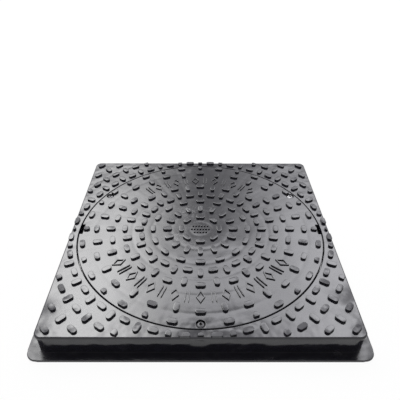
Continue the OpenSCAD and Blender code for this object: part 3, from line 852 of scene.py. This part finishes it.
def head_shell(angle):
    """Closed section of the head: flat seat, short eased side and shallow dome."""
    r = np.array([5.6, 5.2, 4.6, 4.0, 3.4, 2.8, 2.2, 1.6, 1.0, 0.05])
    dome = np.column_stack([r, head_top_z - dome_r + np.sqrt(dome_r ** 2 - r ** 2)])
    rim_z = head_top_z - dome_r + np.sqrt(dome_r ** 2 - head_r ** 2)
    return turned(section((0.05, head_z), (head_r - 0.25, head_z), (head_r, head_z + 0.25),
                          (head_r, rim_z - 0.3), (head_r - 0.04, rim_z - 0.12),
                          (head_r - 0.16, rim_z + 0.05), dome), 96, centre=screw_place(angle))


def cross_tool(angle):
    """Tapered cross that cuts the recess. Its arms are longer and wider at the top, and meet in eased
    corners."""
    def level(z, long, wide, ease):
        one = np.array([(long, -wide), (long, wide), (wide + ease, wide), (wide, wide + ease)])
        turns = [one @ np.array([(c, s), (-s, c)]) for c, s in ((1, 0), (0, 1), (-1, 0), (0, -1))]
        flat = np.concatenate(turns)
        return np.column_stack([flat, np.full(len(flat), z)])

    p = np.concatenate([level(cross_floor_z, cross_half_l * 0.6, cross_half_w * 0.8, 0.5),
                        level(head_top_z + 0.3, cross_half_l * 1.04, cross_half_w * 1.05, 1.0)])
    n = len(p) // 2
    ends = [tuple(range(n))[::-1], tuple(range(n, 2 * n))]
    return p + [*screw_place(angle), 0], quads(2, n).tolist() + ends


def shank_shell(angle):
    """The shank from its tip up into the head: a cone at the tip, then the thread, which runs out below the
    head."""
    a = np.linspace(0, 2 * np.pi, 48, endpoint=False)[None]
    z = np.linspace(tip_z + 0.02, head_z - 0.05, 180)[:, None]
    rolled = np.clip((head_z - 0.6 - z) / 1.2, 0, 1)
    thread = shank_r - 0.06 * (1 - rolled) - thread_depth * thread_cut(a, z) * rolled
    cone = 2.1 + (z - tip_z) * 1.1
    r = np.concatenate([np.full((1, a.size), 0.05), np.full((1, a.size), 2.0), np.minimum(thread, cone),
                        np.full((1, a.size), shank_r - 0.06), np.full((1, a.size), 0.05)])
    heights = np.concatenate([[[tip_z], [tip_z]], z, [[head_z + 0.8], [head_z + 0.8]]])
    return at_axis(angle, r, a, heights), quads(len(heights), a.size, closed_rows=True)


def screw_metal(bright, dull, rough):
    """Metal in the screw's own coordinates: faint rings from heading, painted shade that darkens the cross
    recess, and colour worn in patches. The given colours are those of clean and dulled metal."""
    def make(nodes, place):
        own = nodes.add("ShaderNodeAttribute", {"attribute_name": "own_place"}, out=1)
        x, y, z = nodes.parts(own)
        r = (x * x + y * y) ** 0.5
        dome = (dome_r ** 2 * mm ** 2 - r * r) ** 0.5 - (dome_r - (head_top_z - head_z)) * mm
        # Painted shade: the cross recess is darkened towards black, and made rougher.
        recess_shade = nodes.ramp(dome - z, 0.1 * mm, 0.4 * mm) * nodes.ramp(z, 0.5 * mm, 1.0 * mm)
        worn = nodes.ramp(nodes.noise(own, 350, 4.0, 3.0), 0.4, 0.7)
        rings = nodes.maths("SINE", r * 2 * np.pi / (0.35 * mm)) * 0.0012
        grain = nodes.noise(own, 1500, 3.0, 5.0) * 0.008
        colour = nodes.mix(recess_shade * 0.93, nodes.mix(worn, bright, dull), (0.008, 0.008, 0.008, 1))
        return colour, rough + worn * 0.12 + recess_shade * 0.25, (rings + grain) * mm, {"Metallic": 1.0}

    return make


# Painted shade: the front and left screws' darker steel stands in for the dark reflections on them.
shaded_steel = finish_of("steel_dark_shade", screw_metal((0.075, 0.075, 0.08, 1), (0.12, 0.118, 0.12, 1), 0.34))
bright_steel = finish_of("steel_bright", screw_metal((0.32, 0.32, 0.33, 1), (0.2, 0.2, 0.205, 1), 0.56))
for name, angle in zip(screw_names, screw_angles):
    head = cut(make_mesh(name + "_head", [head_shell(angle)]), [cross_tool(angle)])
    shank = make_mesh(name + "_shank", [shank_shell(angle)])
    bright = name == "right"
    screw = piece(name + "_pan_screw", [head, shank], name + "_screw_body", name + "_screw",
                  bright_steel if bright else shaded_steel)
    places = np.empty(len(screw.data.vertices) * 3)
    screw.data.vertices.foreach_get("co", places)
    axis = np.array([*screw_place(angle), head_z]) * mm
    own = screw.data.attributes.new("own_place", "FLOAT_VECTOR", "POINT")
    own.data.foreach_set("vector", (places.reshape(-1, 3) - axis).ravel())

# Floor, lamps and camera
# A pale floor that keeps the part's shadow, a broad soft lamp over the left
# side and one over the right, a small one between them, and the camera.
def white_behind(nodes):
    """1 for rays from the camera and for mirrored or bent rays, which see plain white."""
    rays = nodes.tree.nodes.new("ShaderNodeLightPath")
    seen = Value(nodes, rays.outputs["Is Camera Ray"])
    for name in ("Is Glossy Ray", "Is Transmission Ray"):
        seen = nodes.maths("MAXIMUM", seen, Value(nodes, rays.outputs[name]))
    return seen


floor_mesh = bpy.data.meshes.new("floor")
reach = 6.0
floor_mesh.from_pydata([(-reach, -reach, 0), (reach, -reach, 0), (reach, reach, 0), (-reach, reach, 0)],
                       [], [(0, 1, 2, 3)])
floor = bpy.data.objects.new("floor", floor_mesh)
bpy.context.scene.collection.objects.link(floor)
floor_paint = bpy.data.materials.new("floor_white")
nodes = Nodes(floor_paint)
matt = nodes.add("ShaderNodeBsdfDiffuse", None, {"Color": (0.8, 0.8, 0.8, 1)})
glow = nodes.add("ShaderNodeEmission", None, {"Color": (1, 1, 1, 1), "Strength": 1.0})
mixed = nodes.add("ShaderNodeMixShader", None, {0: white_behind(nodes) * 0.95, 1: matt, 2: glow})
nodes.feed(nodes.tree.nodes["Material Output"].inputs["Surface"], mixed)
floor_mesh.materials.append(floor_paint)

world = bpy.data.worlds.new("studio")
bpy.context.scene.world = world
nodes = Nodes(world)
sky = nodes.tree.nodes["Background"]
sky.inputs["Color"].default_value = (1, 1, 1, 1)
nodes.feed(sky.inputs["Strength"], 0.35 + white_behind(nodes) * 0.65)

ceiling = 2.2


def panel(name, drop, x0, x1, y0, y1, fades, aslant, notch, strength, tint):
    """Flat lamp on the ceiling, facing down. Its light fades out over a width of its own at each edge:
    left, right, near and far, and aslant over its near outer corner. The notch leaves out more of it
    towards its far end, on the side of the other lamp."""
    lamp = bpy.data.lights.new(name, "AREA")
    lamp.shape, lamp.size, lamp.size_y = "RECTANGLE", x1 - x0, y1 - y0
    lamp.energy = strength * lamp.size * lamp.size_y * np.pi
    lamp.color = tint
    nodes = Nodes(lamp)
    x, y = nodes.parts(nodes.add("ShaderNodeNewGeometry", out="Position"))[:2]
    inner = x + nodes.maths("MAXIMUM", y - 2.8, 0.0) * notch
    level = (nodes.ramp(inner, x0, x0 + fades[0]) * nodes.ramp(0 - inner, -x1, fades[1] - x1)
             * nodes.ramp(y, y0, y0 + fades[2]) * nodes.ramp(0 - y, -y1, fades[3] - y1)
             * nodes.ramp(y - nodes.maths("ABSOLUTE", x) * 1.2, aslant[0], aslant[1]))
    nodes.feed(nodes.tree.nodes["Emission"].inputs["Strength"], level)
    o = bpy.data.objects.new(name, lamp)
    o.location = ((x0 + x1) / 2, (y0 + y1) / 2, plate_top * mm + ceiling - drop)
    o.visible_camera = False
    bpy.context.scene.collection.objects.link(o)


panel("left_panel", 0.0, -3.2, 0.15, 0.1, 4.9, (2.4, 1.05, 0.3, 3.6), (-0.8, 0.1), 0.1, 11.6, (1, 1, 1))
panel("right_panel", 0.05, -0.05, 3.2, 0.1, 4.8, (1.25, 2.4, 0.3, 3.6), (-0.7, 0.1), -0.1, 8.3,
      (0.96, 0.96, 1))
panel("back_panel", 0.1, -0.5, 0.8, 1.4, 2.5, (0.5, 0.6, 0.25, 0.6), (-0.5, -0.4), 0.0, 4.6,
      (0.96, 0.96, 1))

camera_place = (-0.00295, -0.61758, 0.51664 + plate_top * mm)
yaw, pitch, roll = np.radians((0.187, 35.968, 0.182))
camera = bpy.data.objects.new("camera", bpy.data.cameras.new("camera"))
bpy.context.scene.collection.objects.link(camera)
camera.data.sensor_width, camera.data.lens = 36, 38.11
ahead = np.array([np.sin(yaw) * np.cos(pitch), np.cos(yaw) * np.cos(pitch), -np.sin(pitch)])
across = np.array([np.cos(yaw), -np.sin(yaw), 0])
up = np.cross(across, ahead)
across, up = np.cos(roll) * across + np.sin(roll) * up, np.cos(roll) * up - np.sin(roll) * across
camera.matrix_world = (Matrix.Translation(camera_place)
                       @ Matrix(np.stack([across, up, -ahead], -1).tolist()).to_4x4())
bpy.context.scene.camera = camera
bpy.context.scene.view_settings.view_transform = "Standard"
